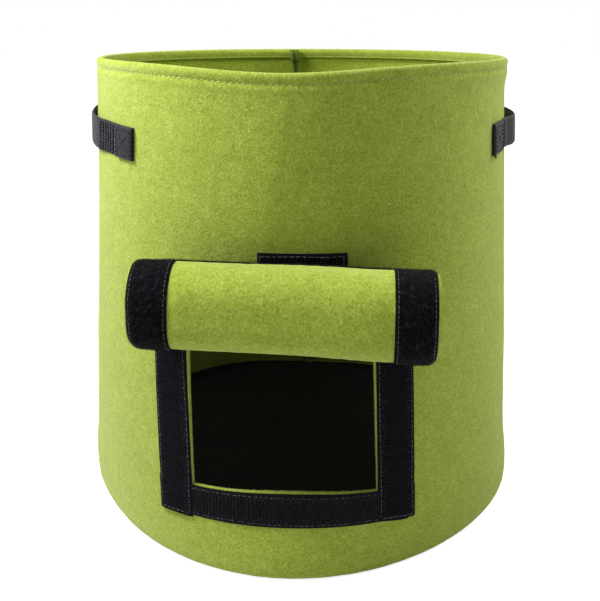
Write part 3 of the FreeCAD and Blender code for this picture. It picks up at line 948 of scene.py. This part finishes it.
def flap_piece():
    """The harvest flap, one sheet from its seam under the patch, out round the roll and back in behind it."""
    xs = spread(FLAP_LEFT, FLAP_RIGHT, 1.5*MM)
    ss = spread(-SEWN_EDGE, LOOP_LENGTH, 1.4*MM)
    s = ss[:, None]
    rough = np.array([[noise.noise(Vector((x*170, t*170, 7))) for x in xs] for t in ss])
    inset = 0.8*MM*np.array([noise.noise(Vector((0.3, t*60, 2))) for t in ss])
    x = xs[None, :] + inset[:, None]*np.sign(xs)[None, :]*ease(np.abs(xs), 0.08, 0.1)[None, :]
    points = loop_points(x, np.maximum(s, 0), 0.2*MM*rough)
    points[..., 2] -= np.minimum(s, 0)
    uvs = np.stack(np.broadcast_arrays(x, s), -1)
    piece = new_piece("flap", points, grid_faces(len(ss), len(xs)), GREEN, uvs)
    thicken(piece, FELT - 0.1*MM, 0.5*MM)
    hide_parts("flap_panel", "flap_top_seam")
    blend_flap(piece)
    return piece


def loop_strip(name, node, low_x, high_x, low_s, high_s, seed, follow=0.0):
    """A loop tape sewn on the flap's outer face, with its brushed pile.

    With follow at 1 its upper edge keeps to the roll's crest.
    """
    half_felt = FELT/2 + 0.05*MM
    edge_gap, curl_step = 0.4*MM, 1.1*MM

    def place(u, v, out):
        shift = follow*wall_recess(u)*(high_s - v)/(high_s - low_s)
        return loop_points(u, v + shift, half_felt + out)

    def top(u, v):
        a = np.minimum(u - low_x, high_x - u)
        b = np.minimum(v - low_s, high_s - v)
        edge = np.minimum(a, b)
        field = ease(edge, 0.9*MM, 1.9*MM)
        rough = np.array([[noise.noise(Vector((p*900, q*900, seed))) for p, q in zip(r, t)]
                          for r, t in zip(u, v)])
        return 0.55*MM + field*(0.35 + 0.28*rough)*MM

    strip = slab(name, place, spread(low_x, high_x, 0.8*MM), spread(low_s, high_s, 0.8*MM), top, PILE)
    rng = random.Random(seed)
    us = spread(low_x + edge_gap, high_x - edge_gap, curl_step)
    vs = spread(low_s + edge_gap, high_s - edge_gap, curl_step)
    curls = bristles(name + "_pile", lambda u, v, out: place(u, v, out + 0.7*MM),
                     rows_of(us, vs, rng, 0.45*MM), 0.95*MM, 1.0*MM, 0.16*MM, any_way, PILE, seed, 3)
    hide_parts(node)
    for piece in (strip, curls):
        blend_flap(piece)


def loop_stitches(name, x, low, high, seed):
    """Stitches along a line on the loop tapes."""
    s = np.linspace(low, high, 140)
    lift = FELT/2 + 0.95*MM
    blend_flap(sew(name, loop_points, x, s, lift, lift + 1*MM, 3.3*MM, 2.95*MM, 0.36*MM, PALE_THREAD, seed))


def loop_tapes():
    """The loop tapes along the flap's two sides and its tail."""
    width, top, tail = 28*MM, 12*MM, LOOP_LENGTH - 25*MM
    left = FLAP_LEFT + 1*MM
    right = FLAP_RIGHT - 1.9*MM
    for side, low, high, seed in (("left", left, left + width, 61), ("right", right - width, right, 67)):
        loop_strip(f"loops_{side}", f"loop_tape_{side}", low, high, top, LOOP_LENGTH - 1*MM, seed)
        for k, x in enumerate((low + 2.2*MM, high - 2.2*MM)):
            loop_stitches(f"stitches_loops_{side}_{k}", x, top + 1*MM, tail, seed + k)
    loop_strip("loops_hem", "loop_tape_hem", left + width + 0.2*MM, right - width - 0.2*MM,
               LOOP_LENGTH - 41.6*MM, LOOP_LENGTH - 0.5*MM, 71, 1.0)


# ---- handles ----

TAB = 23.5*MM
STRAP = 24*MM
STRAP_HALF = 125*MM
STRAP_THICK = 1.6*MM
LADDER = 4.9*MM
LADDER_COLUMNS = {"left": 7, "right": 3}
AZIMUTHS = {"left": math.radians(-79.9), "right": math.radians(103.5)}
GRIP_LEVEL = (GRIP_LOW.z + GRIP_HIGH.z)/2


def side_sign(side):
    """-1 on the left and 1 on the right."""
    return -1 if side == "left" else 1


def blend_strap(piece, side):
    """Bakes the piece's placement into its mesh; the points it works out at the grip are not used."""
    azimuth, radius = AZIMUTHS[side], cone(GRIP_LEVEL)
    outward = np.array([math.sin(azimuth), -math.cos(azimuth), 0])
    start, end = outward*(radius - 22*MM), outward*(radius + 12*MM)
    start[2] = end[2] = GRIP_LEVEL
    tuple(start)
    tuple(end)
    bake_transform(piece)


def strap(side, crown, drop, back_rise):
    """One carry handle: webbing with both ends folded under and sewn flat, bowed off the felt between."""
    azimuth, radius = AZIMUTHS[side], cone(GRIP_LEVEL)
    tab = STRAP_HALF - TAB
    span = (LADDER_COLUMNS[side] - 0.25)*LADDER

    def place(u, v, out):
        t = v/STRAP_HALF
        inside = 1 - ease(np.abs(v), STRAP_HALF - 57*MM, STRAP_HALF - 35*MM)
        bow = crown*(1 - np.abs(v/tab)**2.2)
        lift = np.where(np.abs(v) < tab, np.maximum(bow, 0)*inside, 0)
        back = t*side_sign(side)
        level = GRIP_LEVEL + u + drop + 2.5*MM*(1 - t*t) - 1.2*MM + back_rise*ease(back, -0.2, 0.2)
        twist = 0.02*u*np.sin(4*t)
        sag = (0.6*np.sin(7*t) + 0.5*np.sin(13*t + 1))*inside*MM
        return felt_points(azimuth + v/radius, level + twist, 0.25*MM + lift + sag*0.5 + out)

    def ribs(u, v):
        reach = np.abs(v)
        edge = 1 - 0.5*bell(STRAP/2 - np.abs(u), 0.8*MM)
        fold = 1.3*MM*ease(reach, tab, tab + 0.7*MM)
        fine = 0.06*MM*np.cos(2*PI*v/(1.6*MM))*np.cos(2*PI*u/(1.4*MM))
        rib = 0.06*MM*np.cos(2*PI*u/(2.75*MM)) + fine
        ladder = ease(reach, tab - span - 2*MM, tab - span)*(1 - ease(reach, tab - 1*MM, tab))
        rib = rib - 0.25*MM*ladder + 0.3*MM*ladder*np.cos(2*PI*(tab - reach)/LADDER)
        return STRAP_THICK*edge + fold + rib

    us = spread(-STRAP/2, STRAP/2, 0.55*MM)
    fine_end = STRAP_HALF - TAB - 36*MM
    gap = 0.8*MM
    vs = np.concatenate([spread(-STRAP_HALF, -fine_end, 0.6*MM),
                         spread(-fine_end + gap, fine_end - gap, 1.2*MM),
                         spread(fine_end, STRAP_HALF, 0.6*MM)])
    body = slab(f"strap_{side}", place, us, vs, ribs, WEBBING)
    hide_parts(f"{side}_handle_grip", f"{side}_handle_front_end", f"{side}_handle_rear_end")
    blend_strap(body, side)
    for end in (-1, 1):
        label = f"{side}_{'front' if end*side_sign(side) < 0 else 'rear'}"
        box_stitches(f"box_{label}", place, ribs, end, side)
        ladder_stitches(f"ladder_{label}", place, ribs, end, side)
    if side == "right":
        loose_end("loose_thread_right", place)


def loose_end(name, place):
    """A cut thread end that hangs off the strap's lower front corner."""
    t = np.linspace(0, 1, 12)
    u, v = -STRAP/2 + 1.5*MM - 4.2*MM*t, -STRAP_HALF + 1*MM + 2.6*MM*t
    low, high = 1.5*MM + 1.0*MM*t, 3.5*MM + 1.0*MM*t
    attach(sew(name, place, u, v, low, high, 5*MM, 4.8*MM, 1.5*MM, DARK_THREAD, 3), "bag")


def box_stitches(name, place, ribs, end, side):
    """A box with a cross, sewn through the folded end."""
    outer, inner = STRAP_HALF - 2.2*MM, STRAP_HALF - TAB + 2.6*MM
    edge = STRAP/2 - 2.6*MM
    p, q, r, s = (-edge, outer), (-edge, inner), (edge, inner), (edge, outer)
    seams = {"foot": (p, q), "top": (r, s), "end": (s, p), "near": (q, r), "cross": (s, q), "cross2": (p, r)}
    for k, (label, (a, b)) in enumerate(seams.items()):
        u, v = np.linspace(a[0], b[0], 50), end*np.linspace(a[1], b[1], 50)
        top = ribs(u, v)
        blend_strap(sew(f"{name}_{label}", place, u, v, top + 0.05*MM, top + 1*MM, 3.3*MM, 3.1*MM, 0.85*MM,
                        DARK_THREAD, 81 + k), side)


def ladder_stitches(name, place, ribs, end, side):
    """Rows of small pale knots across the webbing beside its folded end, with dark bars between them."""
    # The right handle's knots are painted darker as shade.
    finish = KNOT_THREAD if side == "left" else KNOT_THREAD_PAINTED_SHADE
    pitch = 2.1*MM
    u = np.linspace(-STRAP/2 + 1.1*MM, STRAP/2 - 1.1*MM, 40)
    for k in range(LADDER_COLUMNS[side]):
        v = np.full(40, end*(STRAP_HALF - TAB - (k + 0.5)*LADDER))
        top = ribs(u, v)
        knots = sew(f"{name}_{k}", place, u, v, top + 0.25*MM, top + 1*MM,
                    pitch, 1.05*MM, 0.62*MM, finish, 95 + k, 0.2)
        between = v + end*LADDER*0.5
        lift = ribs(u, between) - 0.1*MM
        bars = sew(f"{name}_bars_{k}", place, u, between, lift, lift + 1*MM,
                   pitch, 2.2*MM, 1.9*MM, DARK_THREAD, 105 + k, 0.3)
        for piece in (knots, bars):
            blend_strap(piece, side)


# ---- all the pieces ----

def hem_threads():
    """The line of stitches that holds the folded hem, outside and inside."""
    around = np.linspace(0, 2*PI, 900)
    level = np.full(900, STITCH_LINE)
    for name, out, lift in (("outside", -0.62*MM, 1*MM), ("inside", -2*FELT + 0.45*MM, -1*MM)):
        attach(sew(f"stitches_hem_{name}", felt_points, around, level, out, out + lift,
                    STITCH, 3.3*MM, 0.72*MM, GREEN_THREAD, 5), "bag")


def flap_seam_threads():
    """The stitches along the flap's sewn edge, under the roll."""
    x = np.linspace(FLAP_LEFT + 3*MM, FLAP_RIGHT - 3*MM, 160)
    blend_flap(sew("stitches_flap_seam", loop_points, x, 2.5*MM, FELT/2, FELT/2 + 1*MM,
                   4.5*MM, 3.6*MM, 0.7*MM, GREEN_THREAD, 6))


wall = wall_piece()
base = base_piece()
seam_piece()
side_tapes()
sill_tape()
patch_tape()
cut_edge_fuzz()
flap = flap_piece()
loop_tapes()
strap("left", 3.2*MM, 0.0, 3.0*MM)
strap("right", 10*MM, -2.2*MM, 0.6*MM)
hem_threads()
flap_seam_threads()


# ---- camera, light and floor ----

WHITE = (1, 1, 1, 1)
WORLD_LIGHT = 0.375
FLOOR_SIZE = 8.0
FLOOR_DROP = 0.2*MM
FLOOR_GREY = 0.72
FLOOR_GLOW = 0.78


def glow(name, place, target, power, size, colour):
    """An area light that looks at a target."""
    data = bpy.data.lights.new(name, "AREA")
    data.energy = power
    data.color = colour
    data.shape = "RECTANGLE"
    data.size, data.size_y = size
    lamp = bpy.data.objects.new(name, data)
    lamp.location = place
    lamp.rotation_euler = (Vector(target) - Vector(place)).to_track_quat("-Z", "Y").to_euler()
    lamp.visible_camera = False
    bpy.context.collection.objects.link(lamp)


def camera():
    """Close by and a little above the rim, looking down at the window."""
    data = bpy.data.cameras.new("camera")
    data.sensor_width = 36
    data.lens = 47.2
    data.shift_x, data.shift_y = -0.0017, -0.1672
    data.clip_start = 0.02
    eye = bpy.data.objects.new("camera", data)
    eye.location = (0.0543, -0.6978, 0.4097)
    eye.rotation_euler = (math.radians(90 - 13.151), 0, math.radians(4.45))
    bpy.context.collection.objects.link(eye)
    bpy.context.scene.camera = eye


def seen_rays(tree):
    """1 for the rays that see a surface: the camera's own, mirrored ones and those through glass."""
    seen = tree.nodes.new("ShaderNodeLightPath")
    total = seen.outputs["Is Camera Ray"]
    for label in ("Is Glossy Ray", "Is Transmission Ray"):
        larger = tree.nodes.new("ShaderNodeMath")
        larger.operation = "MAXIMUM"
        tree.links.new(total, larger.inputs[0])
        tree.links.new(seen.outputs[label], larger.inputs[1])
        total = larger.outputs[0]
    return total


def backdrop():
    """A white world for the camera, softer light for everything else."""
    world = bpy.data.worlds.new("studio")
    world.use_nodes = True
    bpy.context.scene.world = world
    tree = world.node_tree
    plain, light = tree.nodes["Background"], tree.nodes.new("ShaderNodeBackground")
    fill(plain, {"Color": WHITE, "Strength": 1.0})
    fill(light, {"Color": (0.97, 0.99, 1.0, 1), "Strength": WORLD_LIGHT})
    mix = tree.nodes.new("ShaderNodeMixShader")
    tree.links.new(seen_rays(tree), mix.inputs[0])
    tree.links.new(light.outputs[0], mix.inputs[1])
    tree.links.new(plain.outputs[0], mix.inputs[2])
    tree.links.new(mix.outputs[0], tree.nodes["World Output"].inputs["Surface"])


def floor():
    """A plain white floor that takes the bag's shadow, and that the camera sees as white as the backdrop."""
    material = bpy.data.materials.new("floor_paint")
    material.use_nodes = True
    tree = material.node_tree
    shader = tree.nodes["Principled BSDF"]
    fill(shader, {"Base Color": (FLOOR_GREY, FLOOR_GREY, FLOOR_GREY, 1), "Roughness": 0.9,
                  "Emission Color": WHITE})
    level = tree.nodes.new("ShaderNodeMath")
    level.operation = "MULTIPLY"
    level.inputs[1].default_value = FLOOR_GLOW
    tree.links.new(seen_rays(tree), level.inputs[0])
    tree.links.new(level.outputs[0], shader.inputs["Emission Strength"])
    mesh = bpy.data.meshes.new("floor")
    corners = ((-1, -1), (1, -1), (1, 1), (-1, 1))
    mesh.from_pydata([(x*FLOOR_SIZE, y*FLOOR_SIZE, -FLOOR_DROP) for x, y in corners], [], [(0, 1, 2, 3)])
    mesh.materials.append(material)
    sheet = bpy.data.objects.new("floor", mesh)
    bpy.context.collection.objects.link(sheet)


camera()
backdrop()
floor()
glow("key", (-1.42, -0.29, 1.93), (0, 0, 0.2), 39.0, (0.5, 0.5), (1.0, 0.975, 0.98))
glow("right", (0.64, 0.18, 0.78), (0.1, 0, 0.25), 4.8, (0.5, 0.6), (0.98, 1.0, 0.80))
glow("left", (-0.35, -0.22, 0.61), (-0.12, -0.1, 0.3), 1.6, (0.2, 0.2), (1.0, 0.97, 1.0))
bpy.context.scene.view_settings.view_transform = "Standard"
